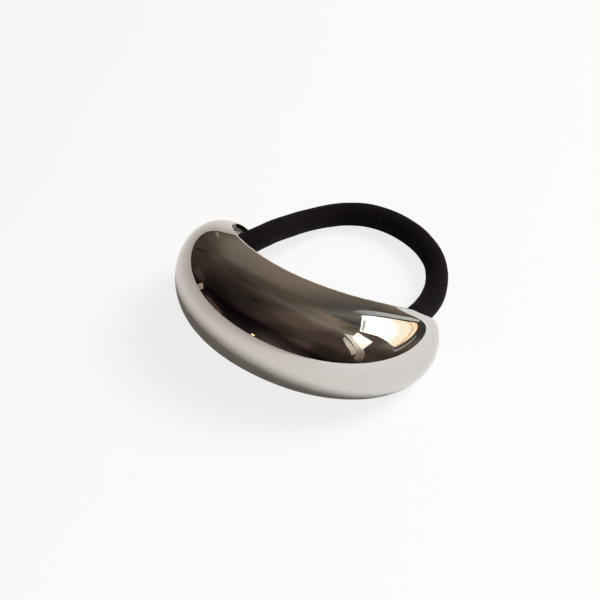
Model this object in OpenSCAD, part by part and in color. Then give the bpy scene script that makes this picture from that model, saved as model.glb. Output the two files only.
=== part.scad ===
// Ponytail cuff: a polished hollow half-moon shell with an open back,
// and a round elastic band whose two ends sit in sockets inside the hollow.
// Millimetres, +Z up, dome towards -Y, standing as it rests on a table.

/* [Cuff shell] */
// width of the oval that the edge of the open back follows
rim_span = 50.4; // [46:0.4:54]
// depth of that oval, front to back
rim_oval_depth = 35; // [33:0.5:37]
// how far round the oval each end reaches from the middle, in degrees
rim_reach = 107.7; // [104:0.1:110]
// height of the cuff across its middle
cuff_height = 24.5; // [23:0.1:27]
// how far the dome stands out from the open back at its middle
bulge = 14.7; // [13.5:0.1:16]
// thickness of the metal
wall = 1.2; // [1:0.1:1.5]
// how far the dome is turned up as the cuff rests, in degrees
lean = 16.4; // [15:0.2:18]

/* [Cuff shell curves] */
// how long the height stays full before it falls off to the ends
height_hold = 2.45; // [2.2:0.05:2.7]
// how blunt the ends are seen from the front
height_blunt = 1.45; // [1.3:0.05:1.7]
// how long the bulge stays full before it falls off to the ends
bulge_hold = 2.6; // [2.3:0.05:3]
// how square the dome is across, where 2 is an ellipse
dome_square = 3; // [2.6:0.1:3.4]

/* [Elastic band] */
// thickness of the round elastic
band_d = 5.6; // [5:0.1:5.8]

/* [Sockets] */
// free space round the elastic in each socket
socket_clearance = 0.1; // [0.05:0.05:0.2]
// thickness of the socket's own metal
socket_wall = 0.8; // [0.6:0.1:1]
// how much of the elastic each socket holds
socket_depth = 5; // [3:0.5:6]
// thickness of the closed end of each socket
socket_floor = 1.2; // [1:0.1:1.6]
// thickness of the foot that joins each socket to the dome
socket_foot = 4; // [3:0.5:5]
// where the foot meets the dome, as a share of the way to the end
foot_share = 0.5; // [0.46:0.01:0.54]

/* [Colours] */
// polished metal
metal_color = "Silver"; // [Silver, Gold]
// knitted elastic
band_color = "Black"; // [Black, DimGray]

/* [Hidden] */

rim_half = rim_span / 2;
oval_half = rim_oval_depth / 2;
half_height = cuff_height / 2;

// mesh of the shell: sections along it, and steps across each section
section_count = 60;
step_count = 26;
// the hollow stops short of the ends, as a share of the reach
hollow_reach = 0.965;

band_sides = 12;
band_rings = 76;

// the elastic's middle line as the cuff rests, from the left socket round
// the back to the right socket: x, y, z
band_route = [
    [-25.2, -2.4, 12.6],
    [-24.8, 0.0, 12.2],
    [-24.4, 2.4, 11.8],
    [-24.0, 4.8, 11.4],
    [-23.1, 8.4, 10.9],
    [-22.1, 12.0, 10.4],
    [-21.3, 15.2, 9.9],
    [-20.9, 18.0, 9.1],
    [-20.7, 20.8, 8.2],
    [-20.3, 23.7, 7.2],
    [-19.8, 26.7, 6.1],
    [-19.2, 29.9, 5.0],
    [-18.2, 33.1, 4.0],
    [-16.8, 36.3, 3.2],
    [-14.8, 39.0, 2.85],
    [-12.3, 41.1, 2.85],
    [-9.3, 42.9, 2.85],
    [-5.9, 43.9, 2.85],
    [-2.1, 44.3, 2.85],
    [1.8, 44.0, 2.85],
    [5.7, 43.1, 2.85],
    [9.7, 41.3, 2.85],
    [13.1, 38.9, 2.85],
    [15.8, 35.8, 2.85],
    [17.7, 32.6, 2.9],
    [19.0, 29.4, 3.1],
    [19.9, 26.1, 3.7],
    [20.4, 22.7, 4.8],
    [20.8, 19.3, 6.3],
    [21.5, 15.6, 8.0],
    [22.4, 12.0, 9.6],
    [23.3, 8.4, 10.8],
    [24.0, 4.8, 11.4],
    [24.4, 2.4, 11.8],
    [24.8, 0.0, 12.2],
    [25.2, -2.4, 12.6]
];

// height and bulge left at a share s of the way to an end
function left_over(s, hold) = max(0, 1 - pow(abs(s), hold));
function height_at(s, full) = full * pow(left_over(s, height_hold), 1 / height_blunt);
function bulge_at(s, full) = full * left_over(s, bulge_hold);

// the edge of the open back, and the way out from it, at a share s
function rim_point(s) = [rim_half * sin(rim_reach * s), oval_half * (1 - cos(rim_reach * s))];
function rim_out(s) =
    let (v = [oval_half * sin(rim_reach * s), -rim_half * cos(rim_reach * s)])
    v / norm(v);

// a point of a dome with the given full height and bulge: s runs along it
// and t across it, both from -1 to 1
function across(t) = 90 * sign(t) * (1 - pow(1 - abs(t), dome_square / 2));
function dome_point(s, t, height, depth) =
    let (
        a = across(t),
        rim = rim_point(s),
        out = rim_out(s) * bulge_at(s, depth) * pow(max(0, cos(a)), 2 / dome_square)
    )
    [rim.x + out.x, rim.y + out.y, height_at(s, height) * sin(a)];

// sections crowd towards the ends
function share(i) = sin(90 * (2 * i / section_count - 1));
function step(j) = 2 * j / step_count - 1;

// the outer skin's points and then the hollow's, section by section: each
// skin has one point at its left end, its full sections, and its right end
function skin(reach, height, depth) = [
    dome_end(-reach),
    for (i = [1 : section_count - 1], j = [0 : step_count])
        let (p = dome_point(share(i), step(j), height, depth))
        let (q = rim_point(share(i)), r = rim_point(reach * share(i)), u = rim_out(share(i)), w = rim_out(reach * share(i)))
        let (d = (p.x - q.x) * u.x + (p.y - q.y) * u.y)
        [r.x + w.x * d, r.y + w.y * d, p.z],
    dome_end(reach)
];
function dome_end(s) = [rim_point(s).x, rim_point(s).y, 0];

outer_skin = skin(1, half_height, bulge);
hollow_skin = skin(hollow_reach, half_height - wall, bulge - wall);
skin_size = len(outer_skin);
last = skin_size - 1;
function at(i, j) = 1 + (i - 1) * (step_count + 1) + j;

// triangles of one skin, wound for the outside
skin_faces = [
    for (j = [0 : step_count - 1]) [0, at(1, j + 1), at(1, j)],
    for (i = [1 : section_count - 2], j = [0 : step_count - 1]) each [
        [at(i, j), at(i, j + 1), at(i + 1, j + 1)],
        [at(i, j), at(i + 1, j + 1), at(i + 1, j)]
    ],
    for (j = [0 : step_count - 1]) [last, at(section_count - 1, j), at(section_count - 1, j + 1)]
];
hollow_faces = [for (f = skin_faces) [f[0] + skin_size, f[2] + skin_size, f[1] + skin_size]];

// the flat edge of the open back, a strip between the two skins
function edge_at(i, j) = i == 0 ? 0 : i == section_count ? last : at(i, j);
edge_faces = [
    for (i = [0 : section_count - 1])
        let (
            a = edge_at(i, 0), b = edge_at(i + 1, 0),
            c = edge_at(i, step_count), d = edge_at(i + 1, step_count)
        )
        each [
            [a, b, b + skin_size], [a, b + skin_size, a + skin_size],
            [d, c, c + skin_size], [d, c + skin_size, d + skin_size]
        ]
];

// turning and placing: the cuff's box stands centred over the origin
function turned(p) = [p.x, p.y * cos(lean) + p.z * sin(lean), p.z * cos(lean) - p.y * sin(lean)];
turned_skin = [for (p = outer_skin) turned(p)];
turned_y = [for (p = turned_skin) p.y];
lowest = min([for (p = turned_skin) p.z]);
middle_y = (min(turned_y) + max(turned_y)) / 2;
function placed(p) = let (q = turned(p)) [q.x, q.y - middle_y, q.z - lowest];

shell_points = [for (p = concat(outer_skin, hollow_skin)) placed(p)];
shell_faces = concat(skin_faces, hollow_faces, edge_faces);

// the elastic: a smooth curve through the route's points
route_last = len(band_route) - 1;
function route_at(i) = band_route[max(0, min(route_last, i))];
function route_point(u) =
    let (
        i = min(route_last - 1, floor(u)),
        f = u - i,
        a = route_at(i - 1), b = route_at(i), c = route_at(i + 1), d = route_at(i + 2)
    )
    b + (c - a) * f / 2 + (2 * a - 5 * b + 4 * c - d) * f * f / 2 + (3 * b - a - 3 * c + d) * f * f * f / 2;
ring_points = [for (k = [0 : band_rings - 1]) route_point(k * route_last / (band_rings - 1))];
function ring_way(k) =
    let (v = ring_points[min(band_rings - 1, k + 1)] - ring_points[max(0, k - 1)])
    v / norm(v);
function ring_side(k) = let (v = cross(ring_way(k), [0, 0, 1])) v / norm(v);
band_points = [
    for (k = [0 : band_rings - 1], j = [0 : band_sides - 1])
        let (side = ring_side(k), top = cross(side, ring_way(k)), a = 360 * j / band_sides)
        ring_points[k] + (side * cos(a) + top * sin(a)) * band_d / 2
];
band_faces = [
    [for (j = [band_sides - 1 : -1 : 0]) j],
    for (k = [0 : band_rings - 2], j = [0 : band_sides - 1])
        let (a = k * band_sides + j, b = k * band_sides + (j + 1) % band_sides)
        each [[a, b + band_sides, a + band_sides], [a, b, b + band_sides]],
    [for (j = [0 : band_sides - 1]) (band_rings - 1) * band_sides + j]
];

// the crown of the dome at a share s, in the middle of the metal
function crown(s) =
    let (rim = rim_point(s), out = rim_out(s) * (bulge_at(s, bulge) - wall / 2))
    placed([rim.x + out.x, rim.y + out.y, 0]);
function crown_way(s) = turned([rim_out(s).x, rim_out(s).y, 0]);

module along(point, way) {
    translate(point) rotate([0, acos(way.z), atan2(way.y, way.x)]) children();
}

// a socket stands round the first or last stretch of the elastic, and its
// foot reaches from the closed end into the metal of the dome
module socket(end_point, way, share) {
    bore = band_d + 2 * socket_clearance;
    back = -socket_clearance - socket_floor;
    along(end_point, way)
        difference() {
            translate([0, 0, back])
                cylinder(d = bore + 2 * socket_wall, h = socket_floor + socket_clearance + socket_depth, $fn = 48);
            translate([0, 0, -socket_clearance])
                cylinder(d = bore, h = socket_depth + band_d, $fn = 48);
        }
    hull() {
        along(end_point, way)
            translate([0, 0, back + socket_floor / 4])
                cylinder(d = socket_foot, h = socket_floor / 2, $fn = 24);
        along(crown(share), crown_way(share))
            cylinder(d = socket_foot, h = wall / 4, center = true, $fn = 24);
    }
}

module cuff_shell() {
    color(metal_color)
        union() {
            polyhedron(points = shell_points, faces = shell_faces, convexity = 8);
            socket(band_route[0], ring_way(0), -foot_share);
            socket(band_route[route_last], -ring_way(band_rings - 1), foot_share);
        }
}

module elastic_band() {
    color(band_color)
        polyhedron(points = band_points, faces = band_faces, convexity = 8);
}

cuff_shell();
elastic_band();
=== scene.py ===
import bpy
import math
from mathutils import Matrix, Vector


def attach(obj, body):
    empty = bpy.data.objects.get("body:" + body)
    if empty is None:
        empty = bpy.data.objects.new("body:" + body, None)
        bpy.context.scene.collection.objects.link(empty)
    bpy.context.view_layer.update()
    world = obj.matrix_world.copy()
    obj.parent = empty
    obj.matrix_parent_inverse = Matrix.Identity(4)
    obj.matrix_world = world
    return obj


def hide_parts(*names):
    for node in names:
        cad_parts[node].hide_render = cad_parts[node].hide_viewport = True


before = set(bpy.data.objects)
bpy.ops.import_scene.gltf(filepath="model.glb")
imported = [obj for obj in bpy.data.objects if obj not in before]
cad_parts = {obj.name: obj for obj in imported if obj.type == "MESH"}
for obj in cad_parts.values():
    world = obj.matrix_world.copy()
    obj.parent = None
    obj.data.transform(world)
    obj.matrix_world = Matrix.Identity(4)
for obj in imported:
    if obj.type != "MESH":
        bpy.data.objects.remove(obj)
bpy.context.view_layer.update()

mergeWithin = 0.000002  # points nearer than this are one, in metres
nearly = 0.00001  # places nearer than this count as the same


# small helpers
def deselect():
    if bpy.context.object and bpy.context.object.mode != "OBJECT":
        bpy.ops.object.mode_set(mode="OBJECT")
    bpy.ops.object.select_all(action="DESELECT")


def pick(obj):
    deselect()
    obj.select_set(True)
    bpy.context.view_layer.objects.active = obj


def editMode(obj, kind="VERT"):
    pick(obj)
    bpy.ops.object.mode_set(mode="EDIT")
    bpy.ops.mesh.select_mode(type=kind)


def selectWhere(obj, kind, test):
    # selects the vertices, edges or faces that pass the test, in edit mode
    editMode(obj, kind)
    bpy.ops.mesh.select_all(action="DESELECT")
    bpy.ops.object.mode_set(mode="OBJECT")
    mesh = obj.data
    parts = {"VERT": mesh.vertices, "EDGE": mesh.edges, "FACE": mesh.polygons}[kind]
    for part in parts:
        part.select = bool(test(part))
    bpy.ops.object.mode_set(mode="EDIT")


def mergePoints(obj):
    editMode(obj)
    bpy.ops.mesh.select_all(action="SELECT")
    bpy.ops.mesh.remove_doubles(threshold=mergeWithin)


def selectOpenEdges():
    bpy.ops.mesh.select_all(action="DESELECT")
    bpy.ops.mesh.select_non_manifold()


def turnOutwards():
    bpy.ops.mesh.select_all(action="SELECT")
    bpy.ops.mesh.normals_make_consistent(inside=False)


def subdivide(obj, levels):
    modifier = obj.modifiers.new("smooth", "SUBSURF")
    modifier.levels = modifier.render_levels = levels
    pick(obj)
    bpy.ops.object.modifier_apply(modifier=modifier.name)


def settle(obj):
    # the piece's place goes into its mesh
    pick(obj)
    bpy.ops.object.transform_apply(location=True, rotation=True, scale=True)
    bpy.ops.object.shade_smooth()


def addGrid(name, across, along):
    # a flat grid from -1 to 1 both ways, ready to be shaped
    deselect()
    bpy.ops.mesh.primitive_grid_add(x_subdivisions=across, y_subdivisions=along, size=2)
    obj = bpy.context.object
    obj.name = obj.data.name = name
    return obj


# camera, at the photo's angle
shot = {
    "aim": (0.00023, 0.007901, 0.008861),
    "distance": 0.48,
    "azimuth": 35.71,
    "elevation": 45.35,
    "roll": -0.83,
    "lens": 127.18,
    "sensor": 36,
    "shift": (-0.0217, -0.0018),
    "clip": (0.01, 100),
}

turn = (
    Matrix.Rotation(math.radians(shot["azimuth"]), 4, "Z")
    @ Matrix.Rotation(math.radians(90 - shot["elevation"]), 4, "X")
    @ Matrix.Rotation(math.radians(shot["roll"]), 4, "Z")
)
cameraSpot = Vector(shot["aim"]) + turn.to_3x3() @ Vector((0, 0, shot["distance"]))
bpy.ops.object.camera_add()
camera = bpy.context.object
camera.name = "camera"
camera.matrix_world = Matrix.Translation(cameraSpot) @ turn
camera.data.lens = shot["lens"]
camera.data.sensor_width = shot["sensor"]
camera.data.shift_x, camera.data.shift_y = shot["shift"]
camera.data.clip_start, camera.data.clip_end = shot["clip"]
bpy.context.scene.camera = camera
print("camera ready")


# elastic: a knitted round cord on the same middle line as the solid's, in metres
elastic = {
    "thickness": 0.0056,
    "length": 0.1203,
    "around": 72,
    "along": 420,
    "ribs": 24,
    "ribDepth": 0.00004,
    "frameStep": 0.002,  # share of the length over which its direction is taken
    "pathSteps": 240,
    "route": [
        (-0.0252, -0.0024, 0.0126), (-0.0248, 0.0, 0.0122), (-0.0244, 0.0024, 0.0118),
        (-0.024, 0.0048, 0.0114), (-0.0231, 0.0084, 0.0109), (-0.0221, 0.012, 0.0104),
        (-0.0213, 0.0152, 0.0099), (-0.0209, 0.018, 0.0091), (-0.0207, 0.0208, 0.0082),
        (-0.0203, 0.0237, 0.0072), (-0.0198, 0.0267, 0.0061), (-0.0192, 0.0299, 0.005),
        (-0.0182, 0.0331, 0.004), (-0.0168, 0.0363, 0.0032), (-0.0148, 0.039, 0.00285),
        (-0.0123, 0.0411, 0.00285), (-0.0093, 0.0429, 0.00285), (-0.0059, 0.0439, 0.00285),
        (-0.0021, 0.0443, 0.00285), (0.0018, 0.044, 0.00285), (0.0057, 0.0431, 0.00285),
        (0.0097, 0.0413, 0.00285), (0.0131, 0.0389, 0.00285), (0.0158, 0.0358, 0.00285),
        (0.0177, 0.0326, 0.0029), (0.019, 0.0294, 0.0031), (0.0199, 0.0261, 0.0037),
        (0.0204, 0.0227, 0.0048), (0.0208, 0.0193, 0.0063), (0.0215, 0.0156, 0.008),
        (0.0224, 0.012, 0.0096), (0.0233, 0.0084, 0.0108), (0.024, 0.0048, 0.0114),
        (0.0244, 0.0024, 0.0118), (0.0248, 0.0, 0.0122), (0.0252, -0.0024, 0.0126),
    ],
    # where it is a little thinner or fuller: place among the route's points,
    # and the change of its half thickness
    "waist": [
        (0, 0), (5, 0), (6.5, -0.00010), (9, -0.00011), (12, -0.00016), (14, -0.00004),
        (16.5, 0.00004), (19.5, 0.00004), (21, -0.00006), (22.5, -0.00016), (24, -0.00015),
        (25.3, -0.00002), (26.3, -0.00003), (28, -0.00015), (30, -0.00015), (32, 0), (35, 0),
    ],
    # and how the parts that hang free lie a little beside the solid's middle line
    "sag": [
        (0, (0, 0, 0)), (5, (0, 0, 0)), (7, (0, 0, 0.00016)), (12, (0, 0, 0.00016)),
        (14, (0, 0.0002, 0)), (16, (0, 0, 0)), (26, (0, 0, 0)), (27.5, (0.0001, 0, -0.0003)),
        (29.5, (0.0002, 0, -0.0005)), (31, (0.0001, 0, -0.0002)), (32, (0, 0, 0)), (35, (0, 0, 0)),
    ],
}
lastPoint = len(elastic["route"]) - 1


def between(table, place):
    # the value at a place, eased from one entry of a table to the next
    for (a, low), (b, high) in zip(table, table[1:]):
        if place <= b:
            break
    f = max(0, min(1, (place - a) / (b - a)))
    f = f * f * (3 - 2 * f)
    if isinstance(low, tuple):
        return Vector(low).lerp(Vector(high), f)
    return low + (high - low) * f


def alongRoute(share):
    # a smooth curve through the route's points, share from 0 to 1
    place = share * lastPoint
    i = min(lastPoint - 1, int(place))
    f = place - i
    a, b, c, d = [Vector(elastic["route"][max(0, min(lastPoint, i + k))]) for k in (-1, 0, 1, 2)]
    square, cube = 2 * a - 5 * b + 4 * c - d, 3 * b - a - 3 * c + d
    spot = b + (c - a) * f / 2 + square * f * f / 2 + cube * f ** 3 / 2
    return spot + between(elastic["sag"], place)


def routeFrame(share):
    # the cord's direction at a share of its length, and the two ways across it
    step = elastic["frameStep"]
    way = (alongRoute(min(1, share + step)) - alongRoute(max(0, share - step))).normalized()
    side = way.cross(Vector((0, 0, 1))).normalized()
    return way, side, side.cross(way)


def makeElastic():
    obj = addGrid("elastic", elastic["around"], elastic["along"])
    for vertex in obj.data.vertices:
        angle = math.pi * (vertex.co.x + 1)
        share = (vertex.co.y + 1) / 2
        radius = elastic["thickness"] / 2 + between(elastic["waist"], share * lastPoint)
        way, side, top = routeFrame(share)
        # fine lengthwise ribs of the knit, three vertices to each
        rib = elastic["ribDepth"] * (0.5 + 0.5 * math.cos(angle * elastic["ribs"]))
        out = side * math.cos(angle) + top * math.sin(angle)
        vertex.co = alongRoute(share) + out * (radius - rib)
    mergePoints(obj)
    selectOpenEdges()
    bpy.ops.mesh.fill_holes(sides=0)
    turnOutwards()
    settle(obj)
    return obj


elasticPiece = makeElastic()
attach(elasticPiece, "root")
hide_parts("elastic_band")
print("elastic made")


# materials: helpers for their nodes
def newMaterial(name):
    material = bpy.data.materials.new(name)
    material.use_nodes = True
    nodes = material.node_tree.nodes
    return material, nodes, material.node_tree.links, nodes["Principled BSDF"]


def newGroup(name, inputs, outputs):
    # sockets are given as a name and a kind, which is Vector or Float
    group = bpy.data.node_groups.new(name, "ShaderNodeTree")
    for inOut, sockets in (("INPUT", inputs), ("OUTPUT", outputs)):
        for label, kind in sockets:
            group.interface.new_socket(name=label, in_out=inOut, socket_type="NodeSocket" + kind)
    return group, group.nodes.new("NodeGroupInput"), group.nodes.new("NodeGroupOutput")


def calc(tree, operation, a, b=None):
    # a Math node on two values, each a number or another node's output
    node = tree.nodes.new("ShaderNodeMath")
    node.operation = operation
    for socketIn, value in zip(node.inputs, (a, b)):
        if value is None:
            continue
        if isinstance(value, (int, float)):
            socketIn.default_value = value
        else:
            tree.links.new(value, socketIn)
    return node.outputs[0]


def dot(tree, vector, way):
    # how far a vector goes along a way, which is fixed or another node's output
    node = tree.nodes.new("ShaderNodeVectorMath")
    node.operation = "DOT_PRODUCT"
    tree.links.new(vector, node.inputs[0])
    if isinstance(way, tuple):
        node.inputs[1].default_value = way
    else:
        tree.links.new(way, node.inputs[1])
    return node.outputs["Value"]


def noise(tree, vector, scale, detail, roughness=0.5):
    node = tree.nodes.new("ShaderNodeTexNoise")
    node.inputs["Scale"].default_value = scale
    node.inputs["Detail"].default_value = detail
    node.inputs["Roughness"].default_value = roughness
    tree.links.new(vector, node.inputs["Vector"])
    return node.outputs["Fac"]


def mixColours(tree, share, low, high):
    node = tree.nodes.new("ShaderNodeMix")
    node.data_type = "RGBA"
    node.inputs["A"].default_value = (*low, 1)
    node.inputs["B"].default_value = (*high, 1)
    tree.links.new(share, node.inputs["Factor"])
    return node.outputs["Result"]


def addBump(tree, height, strength, distance):
    node = tree.nodes.new("ShaderNodeBump")
    node.inputs["Strength"].default_value = strength
    node.inputs["Distance"].default_value = distance
    tree.links.new(height, node.inputs["Height"])
    return node.outputs["Normal"]


# metal: mirror polished outside, satin inside
polish = {
    "hazeScale": 160,
    "hazeDetail": 3,
    "hairlines": [((0.3, 0.2, 0.4), 900), ((1.1, 0.5, 1.9), 1300)],  # how each set is turned, its scale
    "hairlineStretch": (1, 0.02, 1),
    "hairlineAbove": 0.72,  # the higher, the fewer
    "hairlineDepth": 0.02,
    "waveScale": 90,
    "cloudScale": 60,
    "cloudDetail": 2,
    "cloudShade": 0.93,
    "bumpStrength": 0.2,
}
metals = {
    "polishedMetal": {
        "colour": (0.72, 0.70, 0.67),
        "haze": 0.03,
        "scratches": 0.05,
        "rough": 0.015,
        "bump": 0.00002,
    },
    "innerMetal": {
        "colour": (0.76, 0.74, 0.71),
        "haze": 0.16,
        "scratches": 0.06,
        "rough": 0.24,
        "bump": 0.00006,
    },
}


def makePolishGroup():
    # what polishing leaves: faint haze, hairline scratches in every direction
    group, start, end = newGroup(
        "polishMarks",
        [("Vector", "Vector"), ("Haze", "Float"), ("Scratches", "Float")],
        [("Roughness", "Float"), ("Height", "Float")],
    )
    vector = start.outputs["Vector"]
    haze = noise(group, vector, polish["hazeScale"], polish["hazeDetail"])
    hazeAmount = calc(group, "MULTIPLY", haze, start.outputs["Haze"])
    scratchSum = None
    for turnBy, scale in polish["hairlines"]:
        mapping = group.nodes.new("ShaderNodeMapping")
        mapping.inputs["Rotation"].default_value = turnBy
        mapping.inputs["Scale"].default_value = polish["hairlineStretch"]
        group.links.new(vector, mapping.inputs["Vector"])
        lines = noise(group, mapping.outputs["Vector"], scale, 1)
        thin = calc(group, "GREATER_THAN", lines, polish["hairlineAbove"])
        scratchSum = thin if scratchSum is None else calc(group, "MAXIMUM", scratchSum, thin)
    scratchAmount = calc(group, "MULTIPLY", scratchSum, start.outputs["Scratches"])
    group.links.new(calc(group, "ADD", hazeAmount, scratchAmount), end.inputs["Roughness"])
    wave = noise(group, vector, polish["waveScale"], 1)
    cut = calc(group, "MULTIPLY", scratchSum, polish["hairlineDepth"])
    group.links.new(calc(group, "SUBTRACT", wave, cut), end.inputs["Height"])
    return group


def makeMetal(name, colour, haze, scratches, rough, bump):
    material, nodes, links, shader = newMaterial(name)
    tree = material.node_tree
    place = nodes.new("ShaderNodeTexCoord").outputs["Object"]
    marks = nodes.new("ShaderNodeGroup")
    marks.node_tree = polishGroup
    marks.inputs["Haze"].default_value = haze
    marks.inputs["Scratches"].default_value = scratches
    links.new(place, marks.inputs["Vector"])
    links.new(calc(tree, "ADD", marks.outputs["Roughness"], rough), shader.inputs["Roughness"])
    links.new(addBump(tree, marks.outputs["Height"], polish["bumpStrength"], bump), shader.inputs["Normal"])
    cloud = noise(tree, place, polish["cloudScale"], polish["cloudDetail"])
    shaded = [c * polish["cloudShade"] for c in colour]
    links.new(mixColours(tree, cloud, colour, shaded), shader.inputs["Base Color"])
    shader.inputs["Metallic"].default_value = 1
    return material


polishGroup = makePolishGroup()
polishedMetal, innerMetal = [makeMetal(name, **look) for name, look in metals.items()]


# cuff: a hollow half-moon shell, open at the back
cuff = {
    "rimSpan": 0.0504,  # width of the oval that the open back follows
    "ovalDepth": 0.035,
    "reach": math.radians(107.7),  # how far it goes round that oval each way
    "height": 0.0245,
    "bulge": 0.0147,
    "wall": 0.0012,
    "lean": math.radians(16.4),
    "heightHold": 2.45,  # the higher, the longer the dome stays tall towards its tips
    "heightBlunt": 1.45,
    "bulgeHold": 2.6,
    "square": 3,  # 2 is a round section, more is squarer
    "hollowReach": 0.965,
    "sections": 60,
    "steps": 26,
    "rimCrease": 0.75,
    "levels": 2,
}


def rimPoint(s):
    a = cuff["reach"] * s
    return Vector((cuff["rimSpan"] / 2 * math.sin(a), cuff["ovalDepth"] / 2 * (1 - math.cos(a))))


def rimOut(s):
    a = cuff["reach"] * s
    return Vector((cuff["ovalDepth"] / 2 * math.sin(a), -cuff["rimSpan"] / 2 * math.cos(a))).normalized()


def domePoint(s, t, reach, height, bulge):
    # s runs along the dome and t across it, both from -1 to 1
    tall = height / 2 * max(0, 1 - abs(s) ** cuff["heightHold"]) ** (1 / cuff["heightBlunt"])
    deep = bulge * max(0, 1 - abs(s) ** cuff["bulgeHold"])
    a = math.pi / 2 * math.copysign(1 - (1 - abs(t)) ** (cuff["square"] / 2), t)
    out = deep * max(0, math.cos(a)) ** (2 / cuff["square"])
    spot = rimPoint(reach * s) + rimOut(reach * s) * out
    return Vector((spot.x, spot.y, tall * math.sin(a)))


def leaned(point):
    c, n = math.cos(cuff["lean"]), math.sin(cuff["lean"])
    return Vector((point.x, point.y * c + point.z * n, point.z * c - point.y * n))


def makeSkin(name, reach, height, bulge):
    obj = addGrid(name, cuff["sections"], cuff["steps"])
    for vertex in obj.data.vertices:
        s = math.sin(math.pi / 2 * max(-1, min(1, vertex.co.x)))
        t = max(-1, min(1, vertex.co.y))
        vertex.co = leaned(domePoint(s, t, reach, height, bulge))
    mergePoints(obj)
    return obj


def makeShell():
    wall = cuff["wall"]
    outer = makeSkin("cuff", 1, cuff["height"], cuff["bulge"])
    hollow = makeSkin("hollow", cuff["hollowReach"], cuff["height"] - 2 * wall, cuff["bulge"] - wall)
    # stand it as the solid stands: its box centred, its lowest point on the table
    ys = [v.co.y for v in outer.data.vertices]
    zs = [v.co.z for v in outer.data.vertices]
    move = Vector((0, -(min(ys) + max(ys)) / 2, -min(zs)))
    deselect()
    for skin in (outer, hollow):
        for metal in (polishedMetal, innerMetal):
            skin.data.materials.append(metal)
    for face in hollow.data.polygons:
        face.material_index = 1
    outer.select_set(True)
    hollow.select_set(True)
    bpy.context.view_layer.objects.active = outer
    bpy.ops.object.join()
    shell = bpy.context.object
    # a flat rim joins the two skins
    editMode(shell, "EDGE")
    selectOpenEdges()
    bpy.ops.transform.edge_crease(value=cuff["rimCrease"])
    bpy.ops.mesh.bridge_edge_loops()
    turnOutwards()
    bpy.ops.transform.translate(value=move)
    subdivide(shell, cuff["levels"])
    settle(shell)
    # the rim's inner edge is sharp, its outer edge is polished round
    selectWhere(shell, "FACE", lambda face: face.material_index == 1)
    bpy.ops.mesh.region_to_loop()
    bpy.ops.mesh.mark_sharp()
    deselect()
    return shell, move


shellPiece, shellMove = makeShell()
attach(shellPiece, "root")
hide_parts("cuff_shell")
print("shell made")


# sockets: a plain cup on a round foot for each end of the elastic
socket = {
    "clearance": 0.0001,
    "wall": 0.0008,
    "depth": 0.005,
    "floor": 0.0012,
    "foot": 0.004,
    "footShare": 0.5,  # where the foot meets the dome, as a share of the way to its tip
    "around": 64,
    "rounding": 0.00012,
    "roundingSteps": 3,
    "smoothAngle": math.radians(40),
    "facing": 0.9,  # a face looks a certain way from this much on
}


def crownPoint(share):
    # the middle of the metal on the crown of the dome
    deep = cuff["bulge"] * (1 - abs(share) ** cuff["bulgeHold"]) - cuff["wall"] / 2
    spot = rimPoint(share) + rimOut(share) * deep
    return leaned(Vector((spot.x, spot.y, 0))) + shellMove


def makeSocket(name, endPoint, way, share):
    outside = (elastic["thickness"] + 2 * socket["clearance"]) / 2 + socket["wall"]
    back = socket["clearance"] + socket["floor"]
    length = back + socket["depth"]
    deselect()
    bpy.ops.mesh.primitive_cylinder_add(vertices=socket["around"], radius=outside, depth=length)
    obj = bpy.context.object
    obj.name = obj.data.name = name
    # the mouth is inset by the wall and pushed in as deep as the bore
    selectWhere(obj, "FACE", lambda face: face.normal.z > socket["facing"])
    bpy.ops.mesh.inset(thickness=socket["wall"])
    push = (0, 0, -socket["depth"] - socket["clearance"])
    bpy.ops.mesh.extrude_region_move(TRANSFORM_OT_translate={"value": push})
    # the lips are rounded
    mouth = length / 2 - nearly
    selectWhere(obj, "EDGE", lambda edge: all(obj.data.vertices[v].co.z > mouth for v in edge.vertices))
    bpy.ops.mesh.bevel(offset=socket["rounding"], segments=socket["roundingSteps"], profile=0.5)
    deselect()
    middle = Matrix.Translation(endPoint + way * (length / 2 - back))
    obj.matrix_world = middle @ way.to_track_quat("Z", "Y").to_matrix().to_4x4()
    settle(obj)

    # the foot runs from the closed end into the metal of the dome
    def atClosedEnd(face):
        lowest = (face.center - endPoint).dot(way) < -back + nearly
        return lowest and face.normal.dot(way) < -socket["facing"]

    selectWhere(obj, "FACE", atClosedEnd)
    bpy.ops.mesh.inset(thickness=outside - socket["foot"] / 2)
    foot = crownPoint(share) - (endPoint - way * back)
    bpy.ops.mesh.extrude_region_move(TRANSFORM_OT_translate={"value": foot})
    deselect()
    # its end is cut along the dome, in the middle of the metal
    outward = leaned(Vector((*rimOut(share), 0)))
    for vertex in obj.data.vertices:
        if vertex.select:
            vertex.co += foot * ((crownPoint(share) - vertex.co).dot(outward) / foot.dot(outward))
    obj.data.materials.append(innerMetal)
    settle(obj)
    bpy.ops.object.shade_smooth_by_angle(angle=socket["smoothAngle"])
    return obj


for name, share, sign in (("socket_left", 0, -1), ("socket_right", 1, 1)):
    endPoint = Vector(elastic["route"][share * lastPoint])
    piece = makeSocket(name, endPoint, routeFrame(share)[0] * -sign, sign * socket["footShare"])
    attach(piece, "root")
print("sockets made")


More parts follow.
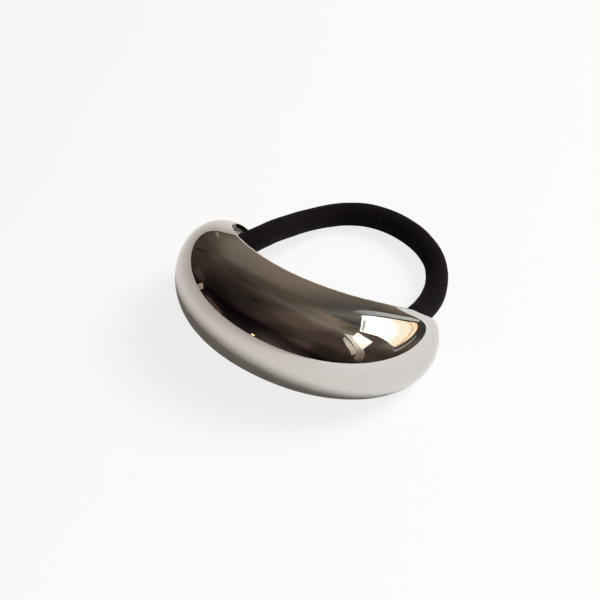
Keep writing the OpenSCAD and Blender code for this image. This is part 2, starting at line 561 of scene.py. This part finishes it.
# knitted cover of the elastic, on its own UV map: u round it, v along it
knit = {
    "yarns": 26,
    "pitch": 0.0009,
    "over": 0.6,  # how much higher a yarn lies where it passes over
    "under": 0.2,
    # painted shade and highlight: the colour runs from dark down between the yarns to light on their tops
    "dark": (0.0026, 0.0017, 0.0025),
    "light": (0.0088, 0.0058, 0.0086),
    "fuzzScale": 2600,
    "fuzzTone": 0.9,
    "fuzzHeight": 0.5,
    "patchScale": 260,
    "patchTone": 0.5,
    "bumpStrength": 0.7,
    "bumpDistance": 0.00012,
    "surface": {
        "Roughness": 0.9,
        "Specular IOR Level": 0.14,
        "Sheen Weight": 0.03,
        "Sheen Roughness": 0.4,
        "Sheen Tint": (0.8, 0.6, 0.85, 1),
    },
}


def makeKnitGroup():
    # two sets of yarns that cross and pass over each other in turn
    group, start, end = newGroup(
        "braidedYarn",
        [("UV", "Vector"), ("Round", "Float"), ("Along", "Float")],
        [("Height", "Float"), ("Crossing", "Float")],
    )
    split = group.nodes.new("ShaderNodeSeparateXYZ")
    group.links.new(start.outputs["UV"], split.inputs[0])
    u = calc(group, "MULTIPLY", split.outputs["X"], start.outputs["Round"])
    v = calc(group, "MULTIPLY", split.outputs["Y"], start.outputs["Along"])
    a = calc(group, "ADD", u, v)
    b = calc(group, "SUBTRACT", u, v)
    field = calc(group, "ADD", calc(group, "FLOOR", a), calc(group, "FLOOR", b))
    over = calc(group, "ABSOLUTE", calc(group, "MODULO", field, 2))
    under = calc(group, "SUBTRACT", 1, over)
    humps = []
    for yarn, lift in ((a, over), (b, under)):
        hump = calc(group, "ABSOLUTE", calc(group, "SINE", calc(group, "MULTIPLY", yarn, math.pi)))
        lifted = calc(group, "ADD", calc(group, "MULTIPLY", lift, knit["over"]), knit["under"])
        humps.append(calc(group, "MULTIPLY", hump, lifted))
    group.links.new(calc(group, "ADD", *humps), end.inputs["Height"])
    group.links.new(over, end.inputs["Crossing"])
    return group


def makeKnit():
    material, nodes, links, shader = newMaterial("knittedElastic")
    tree = material.node_tree
    uv = nodes.new("ShaderNodeUVMap")
    uv.uv_map = elasticPiece.data.uv_layers[0].name
    braid = nodes.new("ShaderNodeGroup")
    braid.node_tree = makeKnitGroup()
    braid.inputs["Round"].default_value = knit["yarns"]
    braid.inputs["Along"].default_value = elastic["length"] / knit["pitch"]
    links.new(uv.outputs["UV"], braid.inputs["UV"])
    height = braid.outputs["Height"]
    place = nodes.new("ShaderNodeTexCoord").outputs["Object"]
    fuzz = noise(tree, place, knit["fuzzScale"], 3, 0.6)
    patches = noise(tree, place, knit["patchScale"], 2)
    fuzzTone = calc(tree, "MULTIPLY", fuzz, knit["fuzzTone"])
    patchTone = calc(tree, "MULTIPLY", patches, knit["patchTone"])
    # painted shade: the colour is darker where the knit lies low and lighter on the yarn tops, broken up by
    # fibre and patch noise
    yarnShadeAndFibreTone = calc(tree, "MULTIPLY", height, calc(tree, "ADD", fuzzTone, patchTone))
    links.new(mixColours(tree, yarnShadeAndFibreTone, knit["dark"], knit["light"]), shader.inputs["Base Color"])
    fuzzy = calc(tree, "ADD", height, calc(tree, "MULTIPLY", fuzz, knit["fuzzHeight"]))
    links.new(addBump(tree, fuzzy, knit["bumpStrength"], knit["bumpDistance"]), shader.inputs["Normal"])
    for label, value in knit["surface"].items():
        shader.inputs[label].default_value = value
    return material


elasticPiece.data.materials.clear()
elasticPiece.data.materials.append(makeKnit())
print("materials made")


# studio: a wide pale table, a soft sun from behind, a dim warm room
studio = {
    "table": 40,
    # painted light: the table's colour is made lighter along lightWay by the ramp below, a painted falloff
    # of the window's light
    "lightWay": (0.96, 0.28, 0),  # the table gets lighter this way, over these metres
    "tableNear": -0.30,
    "tableFar": 0.15,
    "tableLightFalloffColours": [
        (0.0, (0.50, 0.48, 0.465)),
        (0.40, (0.567, 0.543, 0.535)),
        (0.49, (0.62, 0.606, 0.598)),
        (0.53, (0.69, 0.675, 0.672)),
        (0.60, (0.78, 0.757, 0.752)),
        (0.76, (0.84, 0.857, 0.880)),
        (0.86, (0.89, 0.913, 0.938)),
        (1.0, (0.89, 0.918, 0.948)),
    ],
    "tableRoughness": 0.85,
    "tableShine": 0.05,
    "tableGlow": 0.83,
    "glowColour": (0.985, 0.983, 0.978),
    "sunStrength": 3.74,
    "sunAngle": 33,
    "sunFrom": (0.42, 0.56, 0.714),
    "sunColour": (1, 0.985, 0.965),
    "fill": (0.235, 0.214, 0.188),
    "backdrop": (0.94, 0.935, 0.925),
    "roomWay": (0.352, 0.754, 0.553),  # the room gets lighter this way
    "clutter": 0.05,
    "clutterScale": 2.6,
    "room": [
        (0.10, (0.030, 0.022, 0.020)),
        (0.15, (0.012, 0.009, 0.009)),
        (0.235, (0.005, 0.003, 0.003)),
        (0.27, (0.016, 0.010, 0.009)),
        (0.32, (0.037, 0.026, 0.021)),
        (0.38, (0.044, 0.031, 0.026)),
        (0.50, (0.053, 0.037, 0.030)),
        (0.62, (0.048, 0.035, 0.028)),
        (0.69, (0.080, 0.058, 0.050)),
        (0.72, (0.105, 0.085, 0.066)),
        (0.775, (0.200, 0.168, 0.142)),
        (0.85, (0.252, 0.200, 0.150)),
        (0.91, (0.112, 0.105, 0.092)),
        (1.0, (0.100, 0.095, 0.088)),
    ],
    # darker and lighter parts of the room: the way to each, its half width in degrees,
    # and how much light it leaves
    "roomParts": [
        ((0.32, -0.73, 0.60), 60, 1.5),
        ((-0.49, 0.40, 0.77), 22, 0.5),
        ((-0.71, -0.38, 0.59), 32, 0.5),
        ((-0.06, -0.99, 0.14), 22, 2.3),
        ((-0.04, -0.34, 0.94), 22, 1.8),
        ((-0.58, -0.81, 0.12), 21, 0.5),
        ((0.17, 0.66, 0.73), 22, 2.0),
        ((-0.80, -0.60, -0.07), 20, 2.2),
        ((0.41, -0.83, 0.38), 14, 0.5),
        ((0.40, 0.90, 0.10), 38, 0.5),
        ((0.14, 0.43, 0.89), 14, 0.55),
        ((-0.19, 0.965, 0.17), 20, 0.85),
        ((0.71, 0.02, 0.70), 20, 0.42),
        ((0.95, 0.28, 0.12), 24, 0.5),
        ((0.62, -0.78, 0.06), 22, 0.5),
        ((-0.74, 0.62, 0.18), 32, 1.35),
        ((-0.43, 0.54, 0.72), 28, 0.78),
        ((-0.81, -0.36, 0.46), 14, 0.64),
        ((-0.13, -0.80, 0.58), 14, 0.69),
        ((-0.73, 0.33, 0.61), 14, 1.41),
        ((-0.55, 0.75, 0.37), 14, 0.82),
        ((-0.19, 0.27, 0.94), 14, 0.64),
        ((-0.02, 0.39, 0.92), 14, 1.49),
        ((0.37, 0.07, 0.927), 11, 0.55),
        ((0.14, -0.93, 0.35), 11, 1.7),
        ((-0.14, -0.91, 0.40), 10, 1.4),
        ((-0.965, -0.19, 0.17), 10, 1.9),
    ],
    "cardCentre": (0.02, 0.005, 0.015),
    "blotScale": 3,
}
# soft boxes and reflectors: the ways to their corners from the cuff, how far away, how strong,
# their colours from low to high, and how much those are broken up
softBoxes = {
    "window_box": {
        "corners": [
            (-0.032, 0.714, 0.70), (-0.025, 0.793, 0.609), (0.027, 0.876, 0.482), (0.107, 0.927, 0.36),
            (0.144, 0.97, 0.198), (0.262, 0.94, 0.218), (0.409, 0.871, 0.273), (0.624, 0.704, 0.338),
            (0.862, 0.381, 0.335), (0.943, 0.111, 0.313), (0.911, 0.081, 0.405), (0.791, 0.125, 0.599),
            (0.659, 0.156, 0.735), (0.49, 0.11, 0.865), (0.429, 0.10, 0.898), (0.179, 0.467, 0.866),
        ],
        "away": 4.0,
        "light": 2.1,
        "colours": [
            (0.18, (0.34, 0.21, 0.13)), (0.24, (0.62, 0.43, 0.28)), (0.29, (0.78, 0.60, 0.43)),
            (0.325, (0.40, 0.27, 0.16)), (0.35, (0.68, 0.57, 0.42)), (0.40, (0.66, 0.59, 0.46)),
            (0.46, (0.63, 0.58, 0.45)), (0.52, (0.70, 0.67, 0.57)), (0.60, (1, 1, 0.96)),
        ],
        "blots": 0.14,
    },
    "window_frame": {
        "corners": [
            (0.13, 0.54, 0.83), (0.10, 0.613, 0.784), (0.279, 0.40, 0.874),
            (0.446, 0.149, 0.883), (0.42, 0.137, 0.897), (0.275, 0.36, 0.892),
        ],
        "away": 2.4,
        "light": 0.95,
        "colours": [(0.6, (0.80, 0.82, 0.76)), (0.9, (0.62, 0.66, 0.58))],
        "blots": 0.2,
    },
    "curtain_reflector": {
        "corners": [
            (-0.12, 0.73, 0.673), (-0.163, 0.833, 0.529), (-0.158, 0.889, 0.431), (-0.135, 0.93, 0.343),
            (-0.101, 0.962, 0.252), (-0.079, 0.989, 0.126), (-0.019, 0.999, 0.033), (0.083, 0.99, 0.113),
            (0.051, 0.964, 0.26), (0.007, 0.919, 0.395), (-0.038, 0.882, 0.469),
            (-0.051, 0.814, 0.579), (-0.052, 0.727, 0.685),
        ],
        "away": 4.2,
        "light": 0.80,
        "colours": [
            (0.05, (0.86, 0.82, 0.76)), (0.25, (0.78, 0.77, 0.73)), (0.42, (0.72, 0.71, 0.69)),
            (0.58, (0.46, 0.45, 0.44)), (0.68, (0.24, 0.23, 0.22)),
        ],
        "blots": 0.25,
    },
    "patch_box": {
        "corners": [
            (0.459, 0.012, 0.888), (0.602, -0.058, 0.796), (0.753, -0.107, 0.65), (0.779, -0.309, 0.546),
            (0.777, -0.443, 0.447), (0.704, -0.392, 0.592), (0.615, -0.317, 0.722), (0.526, -0.23, 0.819),
        ],
        "away": 4.0,
        "light": 1.6,
        "colours": [
            (0.42, (0.55, 0.48, 0.34)), (0.52, (0.86, 0.78, 0.62)), (0.66, (1, 0.98, 0.91)),
            (0.85, (1, 0.98, 0.93)),
        ],
        "blots": 0.1,
    },
    "door_reflector": {
        "corners": [
            (0.463, -0.321, 0.826), (0.558, -0.387, 0.734), (0.654, -0.468, 0.594),
            (0.724, -0.533, 0.438), (0.745, -0.574, 0.339), (0.709, -0.651, 0.272),
            (0.668, -0.603, 0.436), (0.596, -0.547, 0.588), (0.501, -0.428, 0.752),
        ],
        "away": 4.0,
        "light": 0.85,
        "colours": [
            (0.25, (0.32, 0.26, 0.21)), (0.36, (0.62, 0.53, 0.42)), (0.47, (0.80, 0.72, 0.59)),
            (0.60, (0.95, 0.85, 0.71)), (0.75, (0.75, 0.68, 0.59)), (0.85, (0.50, 0.45, 0.40)),
        ],
        "blots": 0.15,
    },
    "wall_reflector": {
        "corners": [
            (0.406, -0.222, 0.886), (0.50, -0.17, 0.849), (0.61, -0.25, 0.75), (0.73, -0.36, 0.58),
            (0.815, -0.45, 0.365), (0.83, -0.53, 0.18), (0.80, -0.598, 0.05), (0.745, -0.66, 0.09),
            (0.733, -0.658, 0.172), (0.745, -0.554, 0.372), (0.631, -0.419, 0.653), (0.504, -0.307, 0.807),
        ],
        "away": 6.0,
        "light": 1.25,
        "colours": [
            (0.12, (0.08, 0.065, 0.05)), (0.20, (0.17, 0.14, 0.115)), (0.335, (0.22, 0.17, 0.145)),
            (0.42, (0.38, 0.31, 0.25)), (0.53, (0.67, 0.58, 0.46)), (0.68, (0.85, 0.77, 0.66)),
            (0.85, (0.69, 0.63, 0.56)),
        ],
        "blots": 0.12,
    },
    "sill_reflector": {
        "corners": [
            (0.92, 0.077, 0.385), (0.975, 0.019, 0.222), (0.959, 0.177, 0.219), (0.876, 0.42, 0.236),
            (0.682, 0.691, 0.232), (0.689, 0.687, 0.212), (0.885, 0.414, 0.205), (0.966, 0.17, 0.18),
            (0.985, 0.0, 0.18), (0.931, 0.044, 0.363),
        ],
        "away": 4.0,
        "light": 0.5,
        "colours": [(0.1, (1, 0.94, 0.88)), (0.21, (1, 0.94, 0.88)), (0.32, (0.5, 0.46, 0.42))],
        "blots": 0.1,
    },
    "lamp": {
        "corners": [
            (-0.39, -0.92, 0.02), (-0.383, -0.922, 0.062), (-0.354, -0.934, 0.056), (-0.362, -0.932, 0.012),
        ],
        "away": 4.0,
        "light": 2.2,
        "colours": [(0.0, (1, 0.66, 0.34)), (0.1, (1, 0.80, 0.5))],
        "blots": 0.0,
    },
    "wooden_box": {
        "corners": [
            (-0.949, -0.316, 0.0), (-0.924, -0.332, 0.192), (-0.904, -0.409, 0.121), (-0.917, -0.40, 0.0),
        ],
        "away": 4.0,
        "light": 0.42,
        "colours": [(0.0, (0.75, 0.52, 0.38)), (0.12, (1, 0.74, 0.54))],
        "blots": 0.1,
    },
    "skirting_reflector": {
        "corners": [
            (-0.867, -0.496, 0.052), (-0.834, -0.54, 0.111), (-0.732, -0.673, 0.106),
            (-0.68, -0.732, 0.052), (-0.70, -0.712, 0.0), (-0.783, -0.622, 0.01),
        ],
        "away": 4.0,
        "light": 0.09,
        "colours": [(0.0, (1, 0.62, 0.50)), (0.1, (0.9, 0.62, 0.52))],
        "blots": 0.3,
    },
    "shelf_board": {
        "corners": [
            (-0.535, -0.287, 0.795), (-0.475, -0.192, 0.859), (-0.406, -0.186, 0.894),
            (-0.429, -0.339, 0.837), (-0.484, -0.376, 0.790),
        ],
        "away": 4.0,
        "light": 0.026,
        "colours": [(0.75, (0.8, 0.6, 0.5)), (0.9, (1, 0.78, 0.62))],
        "blots": 0.3,
    },
    "picture_rail": {
        "corners": [
            (-0.951, 0.302, 0.068), (-0.899, 0.349, 0.265), (-0.829, 0.387, 0.403),
            (-0.913, 0.286, 0.292), (-0.955, 0.270, 0.120),
        ],
        "away": 4.0,
        "light": 0.032,
        "colours": [(0.1, (1, 0.68, 0.5)), (0.9, (1, 0.68, 0.5))],
        "blots": 0.2,
    },
    "door_post": {
        "corners": [
            (-0.655, 0.754, 0.045), (-0.626, 0.779, 0.037), (-0.635, 0.757, 0.151), (-0.645, 0.748, 0.155),
        ],
        "away": 4.0,
        "light": 0.32,
        "colours": [(0.0, (1, 0.94, 0.86)), (0.3, (0.7, 0.64, 0.56))],
        "blots": 0.2,
    },
}


def addRamp(tree, value, stops):
    node = tree.nodes.new("ShaderNodeValToRGB")
    steps = node.color_ramp.elements
    while len(steps) < len(stops):
        steps.new(0.5)
    for step, (place, colour) in zip(steps, stops):
        step.position = place
        step.color = (*colour, 1)
    tree.links.new(value, node.inputs["Fac"])
    return node.outputs["Color"]


def unevenness(tree, vector, scale, detail, roughness, amount):
    # noise on both sides of 0
    spread = noise(tree, vector, scale, detail, roughness)
    return calc(tree, "MULTIPLY", calc(tree, "SUBTRACT", spread, 0.5), amount)


def mixShaders(tree, share, first, second):
    node = tree.nodes.new("ShaderNodeMixShader")
    tree.links.new(share, node.inputs["Fac"])
    tree.links.new(first, node.inputs[1])
    tree.links.new(second, node.inputs[2])
    return node.outputs[0]


def makePartGroup():
    # 1 far from a way and the given light left at it, with a soft edge between
    group, start, end = newGroup(
        "roomPart",
        [("Vector", "Vector"), ("Way", "Vector"), ("Edge", "Float"), ("Light", "Float")],
        [("Factor", "Float")],
    )
    soft = group.nodes.new("ShaderNodeMapRange")
    soft.interpolation_type = "SMOOTHSTEP"
    soft.inputs["To Min"].default_value = 1
    group.links.new(dot(group, start.outputs["Vector"], start.outputs["Way"]), soft.inputs["Value"])
    group.links.new(start.outputs["Edge"], soft.inputs["From Min"])
    group.links.new(start.outputs["Light"], soft.inputs["To Max"])
    group.links.new(soft.outputs["Result"], end.inputs["Factor"])
    return group


def makeTable():
    deselect()
    bpy.ops.mesh.primitive_plane_add(size=studio["table"], location=(0, 0, 0))
    table = bpy.context.object
    table.name = "table"
    material, nodes, links, shader = newMaterial("paleTable")
    tree = material.node_tree
    place = nodes.new("ShaderNodeTexCoord").outputs["Object"]
    # painted light: the base colour is ramped lighter along lightWay, a painted falloff of the window's
    # light across the table
    spread = nodes.new("ShaderNodeMapRange")
    spread.inputs["From Min"].default_value = studio["tableNear"]
    spread.inputs["From Max"].default_value = studio["tableFar"]
    links.new(dot(tree, place, studio["lightWay"]), spread.inputs["Value"])
    links.new(addRamp(tree, spread.outputs["Result"], studio["tableLightFalloffColours"]), shader.inputs["Base Color"])
    shader.inputs["Roughness"].default_value = studio["tableRoughness"]
    shader.inputs["Specular IOR Level"].default_value = studio["tableShine"]
    # seen straight on, the table is nearly as white as an overexposed sheet
    glow = nodes.new("ShaderNodeEmission")
    glow.inputs["Color"].default_value = (*studio["glowColour"], 1)
    rays = nodes.new("ShaderNodeLightPath")
    share = calc(tree, "MULTIPLY", rays.outputs["Is Camera Ray"], studio["tableGlow"])
    mixed = mixShaders(tree, share, shader.outputs[0], glow.outputs[0])
    links.new(mixed, nodes["Material Output"].inputs["Surface"])
    table.data.materials.append(material)


def makeSoftBox(name, corners, away, light, colours, blots):
    deselect()
    bpy.ops.mesh.primitive_circle_add(vertices=len(corners), fill_type="NGON")
    card = bpy.context.object
    card.name = name
    for vertex, corner in zip(card.data.vertices, corners):
        vertex.co = Vector(studio["cardCentre"]) + Vector(corner).normalized() * away
    material, nodes, links, shader = newMaterial(name + "_light")
    tree = material.node_tree
    nodes.remove(shader)
    # its colour changes with height, broken up a little as a real view is
    place = nodes.new("ShaderNodeTexCoord").outputs["Object"]
    height = dot(tree, place, (0, 0, 1 / away))
    uneven = unevenness(tree, place, studio["blotScale"], 3, 0.6, blots)
    glow = nodes.new("ShaderNodeEmission")
    links.new(addRamp(tree, calc(tree, "ADD", height, uneven), colours), glow.inputs["Color"])
    glow.inputs["Strength"].default_value = light
    links.new(glow.outputs[0], nodes["Material Output"].inputs["Surface"])
    card.data.materials.append(material)
    card.visible_camera = card.visible_diffuse = card.visible_shadow = False


def makeSun():
    bpy.ops.object.light_add(type="SUN")
    sun = bpy.context.object
    sun.name = "soft_sun"
    sun.data.energy = studio["sunStrength"]
    sun.data.angle = math.radians(studio["sunAngle"])
    sun.data.color = studio["sunColour"]
    sun.rotation_euler = Vector(studio["sunFrom"]).to_track_quat("Z", "Y").to_euler()
    sun.visible_glossy = False


def makeRoom():
    # dark and warm in reflections, a soft fill for matte surfaces, pale behind the table
    world = bpy.data.worlds.new("room")
    bpy.context.scene.world = world
    world.use_nodes = True
    tree = world.node_tree
    view = tree.nodes.new("ShaderNodeTexCoord").outputs["Generated"]
    uneven = unevenness(tree, view, studio["clutterScale"], 2, 0.5, studio["clutter"])
    height = calc(tree, "ADD", calc(tree, "MULTIPLY", dot(tree, view, studio["roomWay"]), 0.5), 0.5)
    room = tree.nodes["Background"]
    tree.links.new(addRamp(tree, calc(tree, "ADD", height, uneven), studio["room"]), room.inputs["Color"])
    partGroup = makePartGroup()
    lightLeft = 1
    for way, halfWidth, light in studio["roomParts"]:
        part = tree.nodes.new("ShaderNodeGroup")
        part.node_tree = partGroup
        part.inputs["Way"].default_value = Vector(way).normalized()
        part.inputs["Edge"].default_value = math.cos(math.radians(halfWidth))
        part.inputs["Light"].default_value = light
        tree.links.new(view, part.inputs["Vector"])
        lightLeft = calc(tree, "MULTIPLY", part.outputs["Factor"], lightLeft)
    tree.links.new(lightLeft, room.inputs["Strength"])
    rays = tree.nodes.new("ShaderNodeLightPath")
    seen = room.outputs[0]
    for label, colour in (("Is Diffuse Ray", studio["fill"]), ("Is Camera Ray", studio["backdrop"])):
        plain = tree.nodes.new("ShaderNodeBackground")
        plain.inputs["Color"].default_value = (*colour, 1)
        seen = mixShaders(tree, rays.outputs[label], seen, plain.outputs[0])
    tree.links.new(seen, tree.nodes["World Output"].inputs["Surface"])


makeTable()
for name, box in softBoxes.items():
    makeSoftBox(name, **box)
makeSun()
makeRoom()
bpy.context.scene.view_settings.view_transform = "Standard"
print("studio ready")
